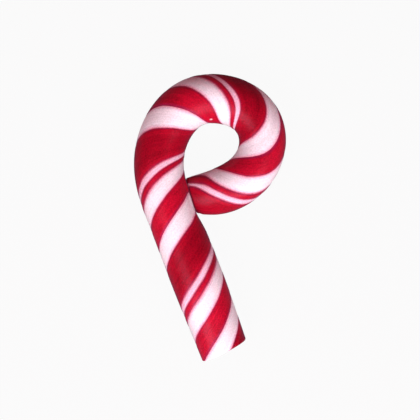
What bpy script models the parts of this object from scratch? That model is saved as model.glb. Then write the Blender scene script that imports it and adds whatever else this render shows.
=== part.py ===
"""A hand-rolled candy cane of pulled sugar, lying on its side.

A straight shaft runs into a hook that is curled right round, until its end presses against the
shaft and leaves a shallow dent there. The rod is one solid, with a narrow flat underside from the
table that it cooled on.

Frame: +Z up, the shaft along +Y from its cut foot, the hook at the +Y end and curled towards +X.
The origin is the middle of the underside of the part's box. Sizes are in millimetres and degrees,
and the mesh is written in metres.
"""

import math

import bmesh
import bpy
from mathutils import Vector

MM = 0.001

# The rod's centre line. Each bend gives the radius that it has reached at a distance from the
# foot, and the curvature changes evenly from one bend to the next. The foot itself is straight.
ROD_LENGTH = 154.8
BENDS = (
    (47.0, -840.0),  # the shaft's faint bow, the other way
    (63.0, 27.1),  # out of the shaft
    (79.0, 24.5),
    (91.0, 13.9),  # up to the crown
    (101.0, 24.4),  # flatter over the crown
    (113.0, 12.15),  # the tight shoulder
    (131.0, 17.4),  # round the nose
    (151.0, 38.5),  # back to the shaft
)

# The rod's radius, by distance from the foot: fuller low on the shaft, thinner along the tail.
RADII = (
    (0.0, 8.1),
    (25.0, 8.74),
    (50.0, 8.43),
    (100.0, 8.22),
    (125.0, 7.83),
    (142.0, 7.93),
    (149.0, 7.32),
    (ROD_LENGTH, 6.2),
)
FLAT_DEPTH = 0.35  # how much of the round is missing under the rod

# The two end cuts: how far each is turned from square, and the radius of its worn edge on the
# inner and the outer side of the hook.
FOOT_PLACE = -0.4
FOOT_SKEW = 6.3
FOOT_EDGES = (0.5, 0.5)
TAIL_SKEW = 15.1  # this lays the tail's face along the shaft
TAIL_EDGES = (0.9, 1.1)
SKEW_REACH = 12.0  # the skin follows a cut's skew over this distance

# Where the tail presses on the shaft.
CONTACT_GAP = 0.33  # clearance that keeps the two surfaces apart
CONTACT_PULL = 0.4  # skin this far short of that plane is drawn out to it
DENT_RAMPS = (3.5, 8.0)  # the dent's inner and outer sides rise back to the round over these

# Mesh density.
RING_STEP = 1.2
RING_POINTS = 32
EDGE_RINGS = 4
LINE_STEP = 0.1  # the centre line is summed in steps this long

RED = (0.52, 0.003, 0.02, 1.0)
GLOSS_ROUGHNESS = 0.3
SHARP_ANGLE = 35.0  # edges turned by more than this are shaded as edges


def curvature(distance):
    """The centre line's curvature at a distance from the foot, positive to the right."""
    bends = [(0.0, 0.0)] + [(place, 1.0 / radius) for place, radius in BENDS]
    for (start, low), (end, high) in zip(bends, bends[1:]):
        if distance <= end:
            return low + (high - low) * (distance - start) / (end - start)
    return bends[-1][1]


def radius_slope(i):
    """The slope of the rod's radius at one of RADII, taken between its neighbours."""
    before = RADII[max(i - 1, 0)]
    after = RADII[min(i + 1, len(RADII) - 1)]
    return (after[1] - before[1]) / (after[0] - before[0])


def rod_radius(distance):
    """The rod's radius at a distance from the foot, on a smooth curve through RADII."""
    distance = min(max(distance, RADII[0][0]), RADII[-1][0])
    i = max(i for i in range(len(RADII) - 1) if RADII[i][0] <= distance)
    (start, low), (end, high) = RADII[i : i + 2]
    span = end - start
    t = (distance - start) / span
    rise = (high - low) * ease(t)
    leave = span * radius_slope(i) * t * (1.0 - t) ** 2
    arrive = span * radius_slope(i + 1) * t**2 * (1.0 - t)
    return low + rise + leave - arrive


def ease(t):
    """0 to 1 with level ends, for t from 0 to 1 and held beyond."""
    t = min(max(t, 0.0), 1.0)
    return t * t * (3.0 - 2.0 * t)


class CentreLine:
    """The rod's middle seen from above: a point and a heading for every distance from the foot."""

    def __init__(self):
        steps = round(ROD_LENGTH / LINE_STEP)
        self.step = ROD_LENGTH / steps
        x, y, heading = 0.0, 0.0, math.radians(90.0)
        self.marks = [(x, y, heading)]
        for i in range(steps):
            turn = curvature((i + 0.5) * self.step) * self.step
            x += self.step * math.cos(heading - turn / 2)
            y += self.step * math.sin(heading - turn / 2)
            heading -= turn
            self.marks.append((x, y, heading))

    def at(self, distance):
        """(x, y, heading) at a distance, carried on straight past either end."""
        place = distance / self.step
        i = min(max(int(place), 0), len(self.marks) - 1)
        x, y, heading = self.marks[i]
        along = (place - i) * self.step
        return x + along * math.cos(heading), y + along * math.sin(heading), heading

    def skin(self, distance, side, radius):
        """A point of the rod's skin. side is the angle from the crest, positive to the left of the
        heading. The underside is flat where the round would pass below z = 0."""
        x, y, heading = self.at(distance)
        left = radius * math.sin(side)
        height = rod_radius(distance) - FLAT_DEPTH + radius * math.cos(side)
        return Vector((x - left * math.sin(heading), y + left * math.cos(heading), max(height, 0.0)))


class Cut:
    """A flat upright cut across the rod. forward is 1 where the rod lies ahead of it, else -1."""

    def __init__(self, line, place, skew, edges, forward):
        x, y, heading = line.at(place)
        turned = heading + math.radians(skew)
        self.line = line
        self.place = place
        self.middle = Vector((x, y, rod_radius(place) - FLAT_DEPTH))
        self.normal = Vector((math.cos(turned), math.sin(turned), 0.0))
        self.edges = edges
        self.forward = forward

    def reached(self, side, radius):
        """The distance along the rod at which a point on a side of it, at a radius, meets the cut."""
        distance = self.place
        for _ in range(8):
            point = self.line.skin(distance, side, radius)
            distance -= (point - self.middle).dot(self.normal)
        return distance

    def shift(self, distance, side):
        """How far the skin near the cut is moved along the rod to follow the cut's skew."""
        fade = 1.0 - abs(distance - self.place) / SKEW_REACH
        if fade <= 0.0:
            return 0.0
        return (self.reached(side, rod_radius(self.place)) - self.place) * fade

    def edge_ring(self, turn):
        """A ring of the worn edge, for a turn from 0 on the skin to 90 degrees on the face."""
        points = []
        for side in ring_sides(self.place):
            inside, outside = self.edges
            edge = inside + (outside - inside) * (1.0 + math.sin(side)) / 2
            back = self.forward * edge * (1.0 - math.sin(turn))
            radius = rod_radius(self.place) - edge * (1.0 - math.cos(turn))
            points.append(self.line.skin(self.reached(side, radius) + back, side, radius))
        return points


def ring_sides(distance):
    """The angles of a ring's points, over the top from one rim of the flat underside to the other."""
    radius = rod_radius(distance)
    reach = math.pi - math.acos((radius - FLAT_DEPTH) / radius)
    return [reach * (2 * i / (RING_POINTS - 1) - 1) for i in range(RING_POINTS)]


def rod_rings(line, foot, tail):
    """Every ring of the rod, from the foot's face to the tail's."""
    turns = [math.radians(90.0) * i / EDGE_RINGS for i in range(EDGE_RINGS + 1)]
    first = foot.place + 2 * max(foot.edges)
    last = tail.place - 2 * max(tail.edges)
    steps = round((last - first) / RING_STEP)
    rings = [foot.edge_ring(turn) for turn in reversed(turns)]
    for i in range(steps + 1):
        place = first + (last - first) * i / steps
        rings.append([])
        for side in ring_sides(place):
            moved = place + foot.shift(place, side) + tail.shift(place, side)
            rings[-1].append(line.skin(moved, side, rod_radius(place)))
    return rings + [tail.edge_ring(turn) for turn in turns]


def press_dent(rings, tail):
    """Lays the shaft's skin against the tail's face, on a plane CONTACT_GAP past it: skin in the way
    is pressed in, and skin up to CONTACT_PULL short of the plane is drawn out to it. Round that
    face, the dent returns to the shaft's own round over DENT_RAMPS."""
    outwards = Vector((-tail.normal.y, tail.normal.x, 0.0))
    face_radius = rod_radius(tail.place) - min(tail.edges) / 2
    inner, outer = DENT_RAMPS
    for ring in rings[: len(rings) // 2]:
        for point in ring:
            offset = point - tail.middle - tail.normal * CONTACT_GAP
            across = offset.dot(outwards)
            reach = math.hypot(across, offset.z)
            ramp = inner + (outer - inner) * (1.0 + across / reach) / 2
            depth = offset.dot(tail.normal)
            beyond = min(max((reach - face_radius) / ramp, 0.0), 1.0)
            cling = 1.0 - ease(depth / CONTACT_PULL - 1.0)
            point -= tail.normal * depth * cling * (1.0 - beyond) ** 2


def rod_mesh(rings):
    """The rod's closed mesh: quads between rings, and a fan of triangles on each end face."""
    mesh = bmesh.new()
    loops = [[mesh.verts.new(point * MM) for point in ring] for ring in rings]
    for here, ahead in zip(loops, loops[1:]):
        for i in range(RING_POINTS):
            j = (i + 1) % RING_POINTS
            mesh.faces.new((here[j], here[i], ahead[i], ahead[j]))
    for loop, turned in ((loops[0], False), (loops[-1], True)):
        centre = mesh.verts.new(sum((vert.co for vert in loop), Vector()) / RING_POINTS)
        for i in range(RING_POINTS):
            pair = (loop[i], loop[(i + 1) % RING_POINTS])
            mesh.faces.new((centre, *(reversed(pair) if turned else pair)))
    return mesh


def centre_on_box(mesh):
    """Puts the origin over the middle of the mesh's box, whose underside is at z = 0 already."""
    for axis in (0, 1):
        spread = [vert.co[axis] for vert in mesh.verts]
        middle = (min(spread) + max(spread)) / 2
        for vert in mesh.verts:
            vert.co[axis] -= middle


def sugar():
    material = bpy.data.materials.new("sugar")
    material.use_nodes = True
    shader = material.node_tree.nodes["Principled BSDF"]
    shader.inputs["Base Color"].default_value = RED
    shader.inputs["Roughness"].default_value = GLOSS_ROUGHNESS
    shader.inputs["Metallic"].default_value = 0.0
    return material


def candy_cane():
    line = CentreLine()
    foot = Cut(line, FOOT_PLACE, FOOT_SKEW, FOOT_EDGES, 1)
    tail = Cut(line, ROD_LENGTH, TAIL_SKEW, TAIL_EDGES, -1)
    rings = rod_rings(line, foot, tail)
    press_dent(rings, tail)
    mesh = rod_mesh(rings)
    centre_on_box(mesh)
    data = bpy.data.meshes.new("candy_cane")
    mesh.to_mesh(data)
    mesh.free()
    data.materials.append(sugar())
    data.shade_smooth()
    data.set_sharp_from_angle(angle=math.radians(SHARP_ANGLE))
    bpy.context.scene.collection.objects.link(bpy.data.objects.new("candy_cane", data))


for thing in list(bpy.data.objects):
    bpy.data.objects.remove(thing)
candy_cane()
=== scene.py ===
"""The looks of a hand-rolled candy cane: red and white pulled sugar, twisted and curled round.

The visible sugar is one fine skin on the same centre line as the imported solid. Every corner of it
carries where it lies in the twist, and its material draws the strands from that.
Lengths are in millimetres and angles in degrees, until the mesh is written in metres.
"""

import math

import bpy
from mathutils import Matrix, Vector

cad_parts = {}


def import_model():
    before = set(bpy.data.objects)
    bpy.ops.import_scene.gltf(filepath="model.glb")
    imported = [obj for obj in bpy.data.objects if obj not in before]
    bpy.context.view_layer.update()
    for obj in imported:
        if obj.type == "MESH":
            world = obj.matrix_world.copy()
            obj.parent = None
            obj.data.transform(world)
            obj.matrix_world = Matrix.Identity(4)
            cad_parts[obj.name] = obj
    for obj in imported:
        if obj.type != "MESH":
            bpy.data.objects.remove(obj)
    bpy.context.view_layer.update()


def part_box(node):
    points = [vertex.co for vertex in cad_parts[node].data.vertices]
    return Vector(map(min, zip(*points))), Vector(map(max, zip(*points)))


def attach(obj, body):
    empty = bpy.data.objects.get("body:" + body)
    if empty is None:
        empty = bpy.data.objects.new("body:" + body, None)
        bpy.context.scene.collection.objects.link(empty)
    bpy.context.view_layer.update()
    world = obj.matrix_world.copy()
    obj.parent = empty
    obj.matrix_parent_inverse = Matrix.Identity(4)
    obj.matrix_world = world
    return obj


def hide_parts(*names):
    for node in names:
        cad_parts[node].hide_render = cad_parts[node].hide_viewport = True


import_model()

MM = 0.001

# --- The rod, with the same named sizes as the solid -------------------------------------------
ROD_LENGTH = 154.8
BENDS = (
    (47.0, -840.0),
    (63.0, 27.1),
    (79.0, 24.5),
    (91.0, 13.9),
    (101.0, 24.4),
    (113.0, 12.15),
    (131.0, 17.4),
    (151.0, 38.5),
)
RADII = (
    (0.0, 8.1),
    (25.0, 8.74),
    (50.0, 8.43),
    (100.0, 8.22),
    (125.0, 7.83),
    (142.0, 7.93),
    (149.0, 7.32),
    (ROD_LENGTH, 6.2),
)
FLAT_DEPTH = 0.35
FOOT_PLACE = -0.4
FOOT_SKEW = 6.3
FOOT_EDGES = (0.5, 0.5)
TAIL_SKEW = 15.1
TAIL_EDGES = (0.9, 1.1)
SKEW_REACH = 12.0
DENT_RAMPS = (3.5, 8.0)
LINE_STEP = 0.1
CUT_ROUNDS = 8  # repeats in finding where the skin meets a cut

# --- The visible skin ---------------------------------------------------------------------------
SKIN_INSET = 0.04  # it stays this far inside the round of the solid
CONTACT_GAP = 0.02  # clearance between the tail's face and the dent in the shaft
CONTACT_PULL = 0.4  # the shaft's skin clings to the tail from this far
RING_STEP = 0.36
RING_POINTS = 144
EDGE_RINGS = 6  # round a cut's worn edge
FACE_RINGS = 14  # from a cut's rim to its middle
SEAM_DEPTH = 0.11  # the strands meet in shallow seams
SEAM_REACH = 9.0  # a seam's half width, in degrees of twist
WHITE_SINK = 0.05  # the white strands lie this much lower than the red ones

# --- The twist ----------------------------------------------------------------------------------
TURN = 360.0
# The strands once round the rod, each with its share of the turn.
STRANDS = (
    ("red", 70.0),
    ("white", 57.5),
    ("red", 26.0),
    ("white", 20.0),
    ("red", 120.5),
    ("white", 66.0),
)
# At distances from the foot: the turn of the strands at the crest, how much further they lie on
# the outer side than on the inner side (lean), and on the sides than at the crest (bow).
TWIST = (
    (0.0, -45.0, 6.0, 18.0),
    (8.0, 23.4, -0.7, 10.3),
    (20.0, 126.0, -2.0, 9.0),
    (40.0, 296.0, -6.0, -6.0),
    (60.0, 486.0, -6.0, -1.0),
    (80.0, 675.0, -24.0, -1.0),
    (95.0, 794.0, -5.0, -10.0),
    (105.0, 883.0, 10.0, -32.0),
    (115.0, 994.0, -5.0, -22.0),
    (125.0, 1069.0, -9.0, -13.0),
    (140.0, 1189.0, -2.0, -2.0),
    (148.0, 1249.5, 7.0, -23.0),
    (152.0, 1275.5, 2.0, -8.0),
    (155.0, 1286.0, -3.0, 0.0),
)
# The thin white strand narrows towards the tail's end.
PINCH_START = 147.0
PINCH = 15.0
# A painted highlight: a small pale glint on the inner side of the hook.
GLINT_PLACE = 96.1
GLINT_SIDE = -62.0
GLINT_REACH = 0.6
SMEAR = 20.0  # the cuts dragged the strands round by this much for each mm of their worn edges

# --- Colours, linear ----------------------------------------------------------------------------
RED = (0.465, 0.003, 0.022)  # narrow strands
WIDE_RED = (0.40, 0.002, 0.017)
WIDE_RED_MIDDLE = (0.32, 0.0008, 0.012)
# Seam reds: the seams' own darker red, and partly painted shade of the seam grooves.
SEAM_RED_AND_SHADE = (0.315, 0.010, 0.054)
WIDE_SEAM_RED_AND_SHADE = (0.275, 0.006, 0.045)
# painted shade: the dark colour of the crevice where the tail meets the shaft
PAINTED_CREVICE_SHADE = (0.20, 0.004, 0.03)
ROSE = (0.80, 0.27, 0.38)
PINK = (0.85, 0.53, 0.67)
BLUSH = (0.87, 0.77, 0.85)
WHITE = (0.88, 0.865, 0.90)
CORE = (0.76, 0.67, 0.66)
CORE_SHADE = (0.62, 0.44, 0.45)  # its rosy cracks and bubbles
PAINTED_EDGE_SHADE = (0.36, 0.4, 0.7)  # painted shade: the red is darker on the rounded edges of the cuts
# colour of the painted glint
PAINTED_GLINT = (0.95, 0.45, 0.52)
# painted shade: turns the sugar rosy near the contact, for red light let through the sugar
PAINTED_ROSY_SHADE = (1.0, 0.66, 0.72)
PAINTED_CREVICE_GLOW = (0.55, 0.003, 0.02)  # painted glow: the crevice emits red, for light let through the sugar
SHEEN_ON_RED = (0.35, 0.5, 1.0)
SHEEN_ON_WHITE = (1.0, 1.0, 1.0)
FILL = (1.0, 0.24, 0.3)
FILL_STRENGTH = 0.27
FLOOR = (0.50, 0.38, 0.42)
FLOOR_IN_GLOSS = (0.10, 0.04, 0.05)  # a pale floor would whiten the rims
SEEN = (0.969, 0.972, 0.972)  # what the camera sees of the floor and behind it
FLOOR_GLOW = 0.97

# How far from a seam the colours lie, in degrees of twist.
ROSE_REACH = 1.0  # into the white
PINK_REACH = 4.0
BLUSH_REACH = 12.0
STARTING_SEAM = (4.0, 11.0)  # into a red strand that starts there: seam red, then its own red; the wider dark seam here is partly painted groove shade
ENDING_SEAM = (2.5, 8.0)  # and back into one that ends there
MIDDLE_REACH = 34.0
WIDE_STRAND = 100.0  # a red strand with more of the turn than this is the wide one
THIN_STRAND = 30.0  # a white strand with no more than this is the thin one

# --- The material -------------------------------------------------------------------------------
# Noise: scale, stretch along the rod in mm (for what follows the strands), detail.
LINE_NOISE = (16.0, 130.0, 3.0)
BAND_NOISE = (4.0, 60.0, 2.0)
CLOUD_NOISE = (170.0, 2.0)
GRAIN_NOISE = (2200.0, 1.0)
WANDER_NOISE = (160.0, 1.0)
NOISE_ROUGHNESS = 0.6
WANDER = 0.012  # how far the seams wander, in turns
BAND_SHADE = 0.5  # how much each noise darkens or lightens the dye
CLOUD_SHADE = 0.45
LINE_SHADE = 0.8
GRAIN_SHADE = 1.2
EVENNESS = 0.75  # the whites keep this share of their even colour
PALE_GAIN = 1.4
EDGE_SHADE_DEPTH = (0.05, 0.3)  # mm under the skin over which the painted edge shade sets in
CORE_DEPTH = (1.5, 1.8)  # mm under the skin at which the core is bared
CORE_RAGGED = 0.8
CRACKS = (0.7, 1.1)
CRACK_GRAIN = 0.6
CREVICE_WIDTH = 1.2  # mm within which other sugar shades a point
# occlusion ranges of the painted rosy shade and the painted crevice shade
ROSY_SHADE_REACH = (0.45, 0.9)
CREVICE_SHADING = (0.25, 0.6)
# strength of the painted glow in the crevice
PAINTED_GLOW_STRENGTH = 0.12
ROUGHNESS = 0.34
ROUGHNESS_LINES = 0.35
ROUGHNESS_WHITE = 0.1
BUMP_GRAIN = 0.25
BUMP_HEIGHT = 0.06  # mm
SHEEN_RED = 0.14
SHEEN_WHITE = 0.7
SHEEN_ROUGHNESS = 0.4
SPECULAR = 0.16
SPECULAR_TINT = (1.0, 0.6, 0.9)
SCATTER = 0.25
SCATTER_RADIUS = (1.0, 0.3, 0.35)
SCATTER_DEPTH = 1.5  # mm
COAT_IOR = 1.005
COAT_ROUGHNESS = 0.3
COAT_TINT = (0.93, 0.93, 0.93)
FLOOR_ROUGHNESS = 0.6
FLOOR_SPECULAR = 0.2
FLOOR_HALF = 3.0  # metres

# --- The lights ---------------------------------------------------------------------------------
# Soft boxes: azimuth in the picture, 0 to the right and 90 up, then watts.
LIGHTS = (
    ("left_box", -126.0, 44.0, 3.1),
    ("right_box", -58.0, 40.0, 3.3),
)
LIGHT_DISTANCE = 0.56  # metres
LIGHT_SIZE = 0.4
WHITE_LIGHT = (1.0, 1.0, 1.0)

# --- The camera ---------------------------------------------------------------------------------
CAMERA_LEAN = 20.54  # how far the shaft leans to the left in the picture
PICTURE_CENTRE = (11.94, 45.08)  # from the middle of the foot
CAMERA_HEIGHT = 380.0  # above the middle of the rod
ROD_MIDDLE = 8.0
PICTURE_WIDTH = 140.0  # across the view at the height of the rod's middle
SENSOR = 36.0


def ease(t):
    t = min(max(t, 0.0), 1.0)
    return t * t * (3.0 - 2.0 * t)


def smooth(rows, column, distance):
    """A column of a table of distances, on a smooth curve that is held level past its ends."""
    distance = min(max(distance, rows[0][0]), rows[-1][0])
    last = len(rows) - 1
    i = max(i for i in range(last) if rows[i][0] <= distance)

    def slope(j):
        before, after = rows[max(j - 1, 0)], rows[min(j + 1, last)]
        return (after[column] - before[column]) / (after[0] - before[0])

    span = rows[i + 1][0] - rows[i][0]
    t = (distance - rows[i][0]) / span
    low, high = rows[i][column], rows[i + 1][column]
    leave = span * slope(i) * t * (1.0 - t) ** 2
    arrive = span * slope(i + 1) * t**2 * (1.0 - t)
    return low + (high - low) * ease(t) + leave - arrive


def curvature(distance):
    bends = [(0.0, 0.0)] + [(place, 1.0 / radius) for place, radius in BENDS]
    for (start, low), (end, high) in zip(bends, bends[1:]):
        if distance <= end:
            return low + (high - low) * (distance - start) / (end - start)
    return bends[-1][1]


def rod_radius(distance):
    return smooth(RADII, 1, distance)


class CentreLine:
    """The rod's middle seen from above: a point and a heading for every distance from the foot."""

    def __init__(self):
        steps = round(ROD_LENGTH / LINE_STEP)
        self.step = ROD_LENGTH / steps
        x, y, heading = 0.0, 0.0, math.radians(90.0)
        self.marks = [(x, y, heading)]
        for i in range(steps):
            turn = curvature((i + 0.5) * self.step) * self.step
            x += self.step * math.cos(heading - turn / 2)
            y += self.step * math.sin(heading - turn / 2)
            heading -= turn
            self.marks.append((x, y, heading))

    def at(self, distance):
        place = distance / self.step
        i = min(max(int(place), 0), len(self.marks) - 1)
        x, y, heading = self.marks[i]
        along = (place - i) * self.step
        return x + along * math.cos(heading), y + along * math.sin(heading), heading

    def skin(self, distance, side, radius):
        x, y, heading = self.at(distance)
        left = radius * math.sin(side)
        height = rod_radius(distance) - FLAT_DEPTH + radius * math.cos(side)
        height = max(height, SKIN_INSET / 2)
        return Vector((x - left * math.sin(heading), y + left * math.cos(heading), height))


# --- Where a point of the skin lies in the twist -------------------------------------------------
def seams():
    """(turn, colour of the strand that begins there) for each seam round the rod."""
    marks, turned = [], 0.0
    for colour, share in STRANDS:
        marks.append((turned, colour))
        turned += share
    return marks


SEAMS = seams()


def pinched(distance, turned):
    """The turn after the seam before the thin white strand has moved towards the one after it."""
    before, seam, after = (mark for mark, _ in SEAMS[2:5])
    moved = seam + PINCH * ease((distance - PINCH_START) / (ROD_LENGTH - PINCH_START))
    place = turned % TURN
    if before < place < moved:
        return turned - place + before + (place - before) * (seam - before) / (moved - before)
    if moved <= place < after:
        return turned - place + after - (after - place) * (after - seam) / (after - moved)
    return turned


def twist(distance, side):
    """The turn of the strands, in degrees, at a distance along the rod and a side of it."""
    crest = smooth(TWIST, 1, distance)
    overrun = distance - min(max(distance, TWIST[0][0]), TWIST[-1][0])
    crest += overrun * (TWIST[1][1] - TWIST[0][1]) / (TWIST[1][0] - TWIST[0][0])
    lean = smooth(TWIST, 2, distance) * math.sin(side)
    bow = smooth(TWIST, 3, distance) * math.sin(side) ** 2
    return pinched(distance, crest + math.degrees(side) + lean - bow)


def relief(turned):
    """How far below the skin the sugar lies: least along the middle of a red strand."""
    turned %= TURN
    nearest = min(min(abs(turned - mark), TURN - abs(turned - mark)) for mark, _ in SEAMS)
    colour = [colour for mark, colour in SEAMS if mark <= turned][-1]
    seam = SEAM_DEPTH * (1.0 - ease(nearest / SEAM_REACH))
    sink = WHITE_SINK * ease(nearest / SEAM_REACH) if colour == "white" else 0.0
    return seam + sink


class Cut:
    """A flat upright cut across the rod. forward is 1 where the rod lies ahead of it, else -1."""

    def __init__(self, line, place, skew, edges, forward):
        x, y, heading = line.at(place)
        turned = heading + math.radians(skew)
        self.line = line
        self.place = place
        self.middle = Vector((x, y, rod_radius(place) - FLAT_DEPTH))
        self.normal = Vector((math.cos(turned), math.sin(turned), 0.0))
        self.edges = edges
        self.forward = forward

    def reached(self, side, radius):
        distance = self.place
        for _ in range(CUT_ROUNDS):
            point = self.line.skin(distance, side, radius)
            distance -= (point - self.middle).dot(self.normal)
        return distance

    def shift(self, distance, side):
        fade = 1.0 - abs(distance - self.place) / SKEW_REACH
        if fade <= 0.0:
            return 0.0
        return (self.reached(side, rod_radius(self.place)) - self.place) * fade

    def edge(self, side):
        inside, outside = self.edges
        return inside + (outside - inside) * (1.0 + math.sin(side)) / 2


def ring_sides(distance):
    radius = rod_radius(distance)
    reach = math.pi - math.acos((radius - FLAT_DEPTH) / radius)
    return [reach * (2 * i / (RING_POINTS - 1) - 1) for i in range(RING_POINTS)]


def skin_ring(line, place, foot, tail):
    """A ring of (point, twist, distance, depth under the skin)."""
    ring = []
    for side in ring_sides(place):
        moved = place + foot.shift(place, side) + tail.shift(place, side)
        turned = twist(moved, side)
        radius = rod_radius(place) - SKIN_INSET - relief(turned)
        ring.append((line.skin(moved, side, radius), turned, moved, 0.0))
    return ring


def edge_ring(cut, turn):
    """A ring of a cut's worn edge, for a turn from 0 on the skin to 90 degrees on the face."""
    ring = []
    for side in ring_sides(cut.place):
        edge = cut.edge(side)
        depth = edge * (1.0 - math.cos(turn))
        reached = cut.reached(side, rod_radius(cut.place) - depth)
        moved = reached + cut.forward * edge * (1.0 - math.sin(turn))
        turned = twist(moved, side) - SMEAR * depth
        radius = rod_radius(cut.place) - SKIN_INSET - relief(turned) * math.cos(turn) - depth
        ring.append((cut.line.skin(moved, side, radius), turned, moved, depth))
    return ring


def face_ring(cut, share):
    """A ring on a cut's face, from its rim at share 1 towards its middle."""
    rim = edge_ring(cut, math.radians(90.0))
    radius = rod_radius(cut.place)
    middle = cut.middle
    return [
        (middle.lerp(point, share), turned, moved, depth + (radius - depth) * (1.0 - share))
        for point, turned, moved, depth in rim
    ]


def rod_rings(line, foot, tail):
    turns = [math.radians(90.0) * i / EDGE_RINGS for i in range(EDGE_RINGS + 1)]
    shares = [i / FACE_RINGS for i in range(1, FACE_RINGS)]
    first = foot.place + 2 * max(foot.edges)
    last = tail.place - 2 * max(tail.edges)
    steps = round((last - first) / RING_STEP)
    rings = [face_ring(foot, share) for share in shares]
    rings += [edge_ring(foot, turn) for turn in reversed(turns)]
    for i in range(steps + 1):
        rings.append(skin_ring(line, first + (last - first) * i / steps, foot, tail))
    rings += [edge_ring(tail, turn) for turn in turns]
    return rings + [face_ring(tail, share) for share in reversed(shares)]


def press_dent(rings, tail):
    outwards = Vector((-tail.normal.y, tail.normal.x, 0.0))
    face_radius = rod_radius(tail.place) - min(tail.edges) / 2
    inner, outer = DENT_RAMPS
    for ring in rings[: len(rings) // 2]:
        for point, *_ in ring:
            offset = point - tail.middle - tail.normal * CONTACT_GAP
            across = offset.dot(outwards)
            reach = math.hypot(across, offset.z)
            ramp = inner + (outer - inner) * (1.0 + across / reach) / 2
            depth = offset.dot(tail.normal)
            beyond = min(max((reach - face_radius) / ramp, 0.0), 1.0)
            cling = 1.0 - ease(depth / CONTACT_PULL - 1.0)
            point -= tail.normal * depth * cling * (1.0 - beyond) ** 2


def rod_origin(rings):
    """What moves the rod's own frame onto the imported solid's box."""
    low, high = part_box("candy_cane")
    points = [point for ring in rings for point, *_ in ring]
    origin = []
    for axis in (0, 1):
        spread = [point[axis] for point in points]
        origin.append((low[axis] + high[axis]) / 2 / MM - (min(spread) + max(spread)) / 2)
    return Vector((origin[0], origin[1], 0.0))


def sugar_rod(line, rings, origin):
    """The visible skin. Each face corner carries (turns of twist, distance, depth) as "twist"."""
    verts, marks = [], []
    for ring in rings:
        for point, turned, moved, depth in ring:
            verts.append((point + origin) * MM)
            marks.append((turned / TURN, moved, depth))
    faces, corners = [], []

    def corner(r, i):
        """A corner's vertex and mark. i may be RING_POINTS, which is point 0 after a whole turn."""
        index = r * RING_POINTS + i % RING_POINTS
        turned, moved, depth = marks[index]
        return index, (turned + i // RING_POINTS, moved, depth)

    for r in range(len(rings) - 1):
        for i in range(RING_POINTS):
            quad = (corner(r, i + 1), corner(r, i), corner(r + 1, i), corner(r + 1, i + 1))
            faces.append([index for index, _ in quad])
            corners += [mark for _, mark in quad]
    for r, flip in ((0, False), (len(rings) - 1, True)):
        middle = sum((point for point, *_ in rings[r]), Vector()) / RING_POINTS
        verts.append((middle + origin) * MM)
        for i in range(RING_POINTS):
            pair = [corner(r, i), corner(r, i + 1)]
            if flip:
                pair.reverse()
            depth = rod_radius(rings[r][0][2])
            centre_mark = (pair[0][1][0], pair[0][1][1], depth)
            faces.append([len(verts) - 1] + [index for index, _ in pair])
            corners += [centre_mark] + [mark for _, mark in pair]
    data = bpy.data.meshes.new("sugar_rod")
    data.from_pydata(verts, [], faces)
    layer = data.attributes.new("twist", "FLOAT_VECTOR", "CORNER")
    layer.data.foreach_set("vector", [value for mark in corners for value in mark])
    data.shade_smooth()
    rod = bpy.data.objects.new("sugar_rod", data)
    bpy.context.scene.collection.objects.link(rod)
    return rod


# --- Materials ----------------------------------------------------------------------------------
class Nodes:
    """Small helper that adds nodes and joins them."""

    def __init__(self, name):
        self.material = bpy.data.materials.new(name)
        self.material.use_nodes = True
        self.tree = self.material.node_tree
        self.shader = self.tree.nodes["Principled BSDF"]

    def add(self, kind, inputs=(), **settings):
        node = self.tree.nodes.new(kind)
        for name, value in settings.items():
            setattr(node, name, value)
        for key, value in dict(inputs).items():
            self.put(node.inputs[key], value)
        return node

    def put(self, socket, value):
        if isinstance(value, bpy.types.NodeSocket):
            self.tree.links.new(value, socket)
        else:
            socket.default_value = value

    def math(self, operation, *values, clamp=False):
        node = self.add("ShaderNodeMath", dict(enumerate(values)), operation=operation)
        node.use_clamp = clamp
        return node.outputs[0]

    def mix(self, factor, a, b, blend="MIX"):
        node = self.add("ShaderNodeMix", data_type="RGBA", blend_type=blend)
        self.put(node.inputs["Factor"], factor)
        for key, value in (("A", a), ("B", b)):
            socket = [s for s in node.inputs if s.name == key and s.type == "RGBA"][0]
            self.put(socket, (*value, 1.0) if isinstance(value, tuple) else value)
        return [s for s in node.outputs if s.type == "RGBA"][0]

    def between(self, value, low, high):
        """0 up to low, 1 from high on, and even between them."""
        inputs = {0: value, 1: low, 2: high, 3: 0.0, 4: 1.0}
        return self.add("ShaderNodeMapRange", inputs).outputs[0]

    def green(self, colour):
        """A colour's green, which tells the white strands from the red ones."""
        return self.add("ShaderNodeSeparateColor", {0: colour}).outputs[1]

    def grey(self, value):
        return self.add("ShaderNodeCombineColor", {0: value, 1: value, 2: value}).outputs[0]

    def ramp(self, factor, stops):
        node = self.add("ShaderNodeValToRGB", {"Fac": factor})
        stops = sorted(stops)
        elements = node.color_ramp.elements
        while len(elements) < len(stops):
            elements.new(0.5)
        for element, (place, colour) in zip(elements, stops):
            element.position = place
            element.color = (*colour, 1.0)
        return node.outputs["Color"]


def strand_stops():
    """Colour stops once round the rod. The red bleeds into the white, and darkens at the seam:
    partly its own darker red, partly painted shade of the groove.
    """
    stops = []

    def stop(place, shade):
        stops.append(((place % TURN) / TURN, shade))

    for i, (mark, colour) in enumerate(SEAMS):
        into_red = colour == "red"
        side = 1.0 if into_red else -1.0
        red_share = STRANDS[i][1] if into_red else STRANDS[i - 1][1]
        white_share = STRANDS[i - 1][1] if into_red else STRANDS[i][1]
        wide = red_share > WIDE_STRAND
        darkest, full_red = STARTING_SEAM if into_red else ENDING_SEAM
        stop(mark - side * PINK_REACH, PINK)
        stop(mark - side * ROSE_REACH, ROSE)
        stop(mark + side * darkest, WIDE_SEAM_RED_AND_SHADE if wide else SEAM_RED_AND_SHADE)
        stop(mark + side * full_red, WIDE_RED if wide else RED)
        if wide:
            stop(mark + side * MIDDLE_REACH, WIDE_RED_MIDDLE)
        if white_share > THIN_STRAND:
            stop(mark - side * BLUSH_REACH, BLUSH)
    return stops


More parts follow.
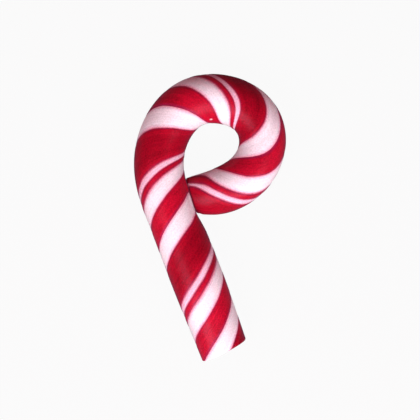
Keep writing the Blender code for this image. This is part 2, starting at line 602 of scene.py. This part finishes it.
def sugar_material(glint_spot):
    n = Nodes("striped_sugar")
    marks = n.add("ShaderNodeAttribute", attribute_name="twist", attribute_type="GEOMETRY")
    split = n.add("ShaderNodeSeparateXYZ", {0: marks.outputs["Vector"]})
    turns, along, depth = split.outputs
    place = n.add("ShaderNodeTexCoord").outputs["Object"]

    # Pull lines run along the strands, and join up round the rod.
    angle = n.math("MULTIPLY", turns, 2 * math.pi)
    cosine, sine = n.math("COSINE", angle), n.math("SINE", angle)

    def noise(at, scale, detail):
        inputs = {"Vector": at, "Scale": scale, "Detail": detail, "Roughness": NOISE_ROUGHNESS}
        return n.add("ShaderNodeTexNoise", inputs).outputs["Fac"]

    def pull_noise(scale, stretch, detail):
        height = n.math("MULTIPLY", along, 1.0 / stretch)
        at = n.add("ShaderNodeCombineXYZ", {"X": cosine, "Y": sine, "Z": height})
        return noise(at.outputs[0], scale, detail)

    lines = pull_noise(*LINE_NOISE)
    bands = pull_noise(*BAND_NOISE)
    clouds = noise(place, *CLOUD_NOISE)
    grain = noise(place, *GRAIN_NOISE)

    # The strands. The seams wander a little, as hand-pulled ones do.
    wander = n.math("SUBTRACT", noise(place, *WANDER_NOISE), 0.5)
    turned = n.math("FRACT", n.math("ADD", turns, n.math("MULTIPLY", wander, WANDER)))
    colour = n.ramp(turned, strand_stops())

    # Uneven dye and air in the sugar.
    shade = 1.0
    for fine, strength in (
        (bands, BAND_SHADE),
        (clouds, CLOUD_SHADE),
        (lines, LINE_SHADE),
        (grain, GRAIN_SHADE),
    ):
        shade = n.math("MULTIPLY_ADD", n.math("SUBTRACT", fine, 0.5), strength, shade)
    shaded = n.mix(1.0, colour, n.grey(shade), "MULTIPLY")
    whiteness = n.math("MULTIPLY", n.green(colour), EVENNESS)
    colour = n.mix(whiteness, shaded, colour)

    # Painted highlight: a small pale spot.
    away = n.add("ShaderNodeVectorMath", {0: place, 1: glint_spot}, operation="DISTANCE")
    off_glint = n.between(away.outputs["Value"], GLINT_REACH * MM / 2, GLINT_REACH * MM)
    colour = n.mix(off_glint, PAINTED_GLINT, colour)

    # Under the pulled strands the sugar is a plain white core, which the cuts lay bare.
    pale = n.math("MULTIPLY", n.green(colour), PALE_GAIN, clamp=True)
    # Painted shade: the red strands, not the white ones, are darker on the cuts' rounded edges.
    edge_shading = n.math("SUBTRACT", n.between(depth, *EDGE_SHADE_DEPTH), pale, clamp=True)
    colour = n.mix(edge_shading, colour, n.mix(1.0, colour, PAINTED_EDGE_SHADE, "MULTIPLY"))
    cracks = n.between(n.math("MULTIPLY_ADD", grain, CRACK_GRAIN, clouds), *CRACKS)
    bared = n.between(n.math("MULTIPLY_ADD", clouds, CORE_RAGGED, depth), *CORE_DEPTH)
    colour = n.mix(bared, colour, n.mix(cracks, CORE, CORE_SHADE))

    # Where the tail meets the shaft, painted shade from ambient occlusion: rosy near it, dark in
    # the crevice, with a painted glow.
    reach = {"Distance": CREVICE_WIDTH * MM}
    near = n.add("ShaderNodeAmbientOcclusion", reach, samples=16).outputs["AO"]
    # Painted shade: a rosy tint near the contact.
    rosy_shaded = n.mix(1.0, colour, PAINTED_ROSY_SHADE, "MULTIPLY")
    colour = n.mix(n.between(near, *ROSY_SHADE_REACH), rosy_shaded, colour)
    # Painted shade: the dark crevice colour.
    clear = n.between(near, *CREVICE_SHADING)
    colour = n.mix(clear, PAINTED_CREVICE_SHADE, colour)
    # Painted glow: the crevice emits a little red light.
    glow = n.math("MULTIPLY", n.math("SUBTRACT", 1.0, clear), PAINTED_GLOW_STRENGTH)

    rough = n.math("MULTIPLY_ADD", n.math("SUBTRACT", lines, 0.5), ROUGHNESS_LINES, ROUGHNESS)
    rough = n.math("ADD", rough, n.math("MULTIPLY", whiteness, ROUGHNESS_WHITE))
    height = n.math("ADD", lines, n.math("MULTIPLY", grain, BUMP_GRAIN))
    bump = {"Height": height, "Strength": 1.0, "Distance": BUMP_HEIGHT * MM}
    for name, value in (
        ("Base Color", colour),
        ("Emission Color", (*PAINTED_CREVICE_GLOW, 1.0)),
        ("Emission Strength", glow),
        ("Roughness", rough),
        ("Normal", n.add("ShaderNodeBump", bump).outputs[0]),
        ("Specular IOR Level", SPECULAR),
        ("Specular Tint", (*SPECULAR_TINT, 1.0)),
        ("Subsurface Weight", SCATTER),
        ("Subsurface Radius", SCATTER_RADIUS),
        ("Subsurface Scale", SCATTER_DEPTH * MM),
        ("Sheen Weight", n.math("MULTIPLY_ADD", whiteness, SHEEN_WHITE, SHEEN_RED)),
        ("Sheen Tint", n.mix(pale, SHEEN_ON_RED, SHEEN_ON_WHITE)),
        ("Sheen Roughness", SHEEN_ROUGHNESS),
        ("Coat Weight", 1.0),
        ("Coat IOR", COAT_IOR),
        ("Coat Roughness", COAT_ROUGHNESS),
        ("Coat Tint", (*COAT_TINT, 1.0)),
    ):
        n.put(n.shader.inputs[name], value)
    return n.material


def put_light(name, azimuth, elevation, power):
    """A square soft box, aimed at the middle of the part. azimuth is in the picture."""
    data = bpy.data.lights.new(name, "AREA")
    data.shape = "RECTANGLE"
    data.size = data.size_y = LIGHT_SIZE
    data.energy = power
    data.color = WHITE_LIGHT
    turned = math.radians(azimuth - CAMERA_LEAN)
    up = math.radians(elevation)
    way = Vector((math.cos(turned) * math.cos(up), math.sin(turned) * math.cos(up), math.sin(up)))
    light = bpy.data.objects.new(name, data)
    light.location = Vector((0.0, 0.0, ROD_MIDDLE * MM)) + way * LIGHT_DISTANCE
    light.rotation_euler = way.to_track_quat("Z", "Y").to_euler()
    bpy.context.scene.collection.objects.link(light)


def floor():
    """A pale table. It glows to the camera alone, so it stays pale where its light is low."""
    n = Nodes("pale_table")
    path = n.add("ShaderNodeLightPath")
    in_gloss = path.outputs["Is Glossy Ray"]
    n.put(n.shader.inputs["Base Color"], n.mix(in_gloss, FLOOR, FLOOR_IN_GLOSS))
    n.shader.inputs["Roughness"].default_value = FLOOR_ROUGHNESS
    n.shader.inputs["Specular IOR Level"].default_value = FLOOR_SPECULAR
    seen = path.outputs["Is Camera Ray"]
    glow = n.add("ShaderNodeEmission", {"Color": (*SEEN, 1.0)})
    share = n.math("MULTIPLY", seen, FLOOR_GLOW)
    both = n.add("ShaderNodeMixShader", {0: share, 1: n.shader.outputs[0], 2: glow.outputs[0]})
    n.put(n.tree.nodes["Material Output"].inputs["Surface"], both.outputs[0])
    half = FLOOR_HALF
    data = bpy.data.meshes.new("floor")
    corners = [(-half, -half, 0.0), (half, -half, 0.0), (half, half, 0.0), (-half, half, 0.0)]
    data.from_pydata(corners, [], [(0, 1, 2, 3)])
    data.materials.append(n.material)
    thing = bpy.data.objects.new("floor", data)
    bpy.context.scene.collection.objects.link(thing)


def camera(start):
    lean = math.radians(CAMERA_LEAN)
    data = bpy.data.cameras.new("camera")
    data.sensor_width = SENSOR
    data.lens = SENSOR * CAMERA_HEIGHT / PICTURE_WIDTH
    data.clip_start = 0.01
    data.clip_end = 20.0
    thing = bpy.data.objects.new("camera", data)
    x, y = start.x + PICTURE_CENTRE[0], start.y + PICTURE_CENTRE[1]
    thing.location = Vector((x, y, ROD_MIDDLE + CAMERA_HEIGHT)) * MM
    thing.rotation_euler = (0.0, 0.0, -lean)
    bpy.context.scene.collection.objects.link(thing)
    bpy.context.scene.camera = thing


def world():
    """A low rosy fill, as the red sugar gives in a white tent. The camera sees it pale."""
    surroundings = bpy.data.worlds.new("studio")
    surroundings.use_nodes = True
    tree = surroundings.node_tree
    fill = tree.nodes["Background"]
    fill.inputs["Color"].default_value = (*FILL, 1.0)
    fill.inputs["Strength"].default_value = FILL_STRENGTH
    pale = tree.nodes.new("ShaderNodeBackground")
    pale.inputs["Color"].default_value = (*SEEN, 1.0)
    both = tree.nodes.new("ShaderNodeMixShader")
    seen = tree.nodes.new("ShaderNodeLightPath").outputs["Is Camera Ray"]
    tree.links.new(seen, both.inputs[0])
    tree.links.new(fill.outputs[0], both.inputs[1])
    tree.links.new(pale.outputs[0], both.inputs[2])
    tree.links.new(both.outputs[0], tree.nodes["World Output"].inputs["Surface"])
    bpy.context.scene.world = surroundings


line = CentreLine()
foot = Cut(line, FOOT_PLACE, FOOT_SKEW, FOOT_EDGES, 1)
tail = Cut(line, ROD_LENGTH, TAIL_SKEW, TAIL_EDGES, -1)
rings = rod_rings(line, foot, tail)
press_dent(rings, tail)
origin = rod_origin(rings)
camera(origin)
rod = sugar_rod(line, rings, origin)
# Where the painted glint lies.
skin = rod_radius(GLINT_PLACE) - SKIN_INSET
glint_spot = line.skin(GLINT_PLACE, math.radians(GLINT_SIDE), skin) + origin
rod.data.materials.append(sugar_material(glint_spot * MM))
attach(rod, "root")
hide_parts("candy_cane")

floor()
world()
for light in LIGHTS:
    put_light(*light)
bpy.context.scene.view_settings.view_transform = "Standard"
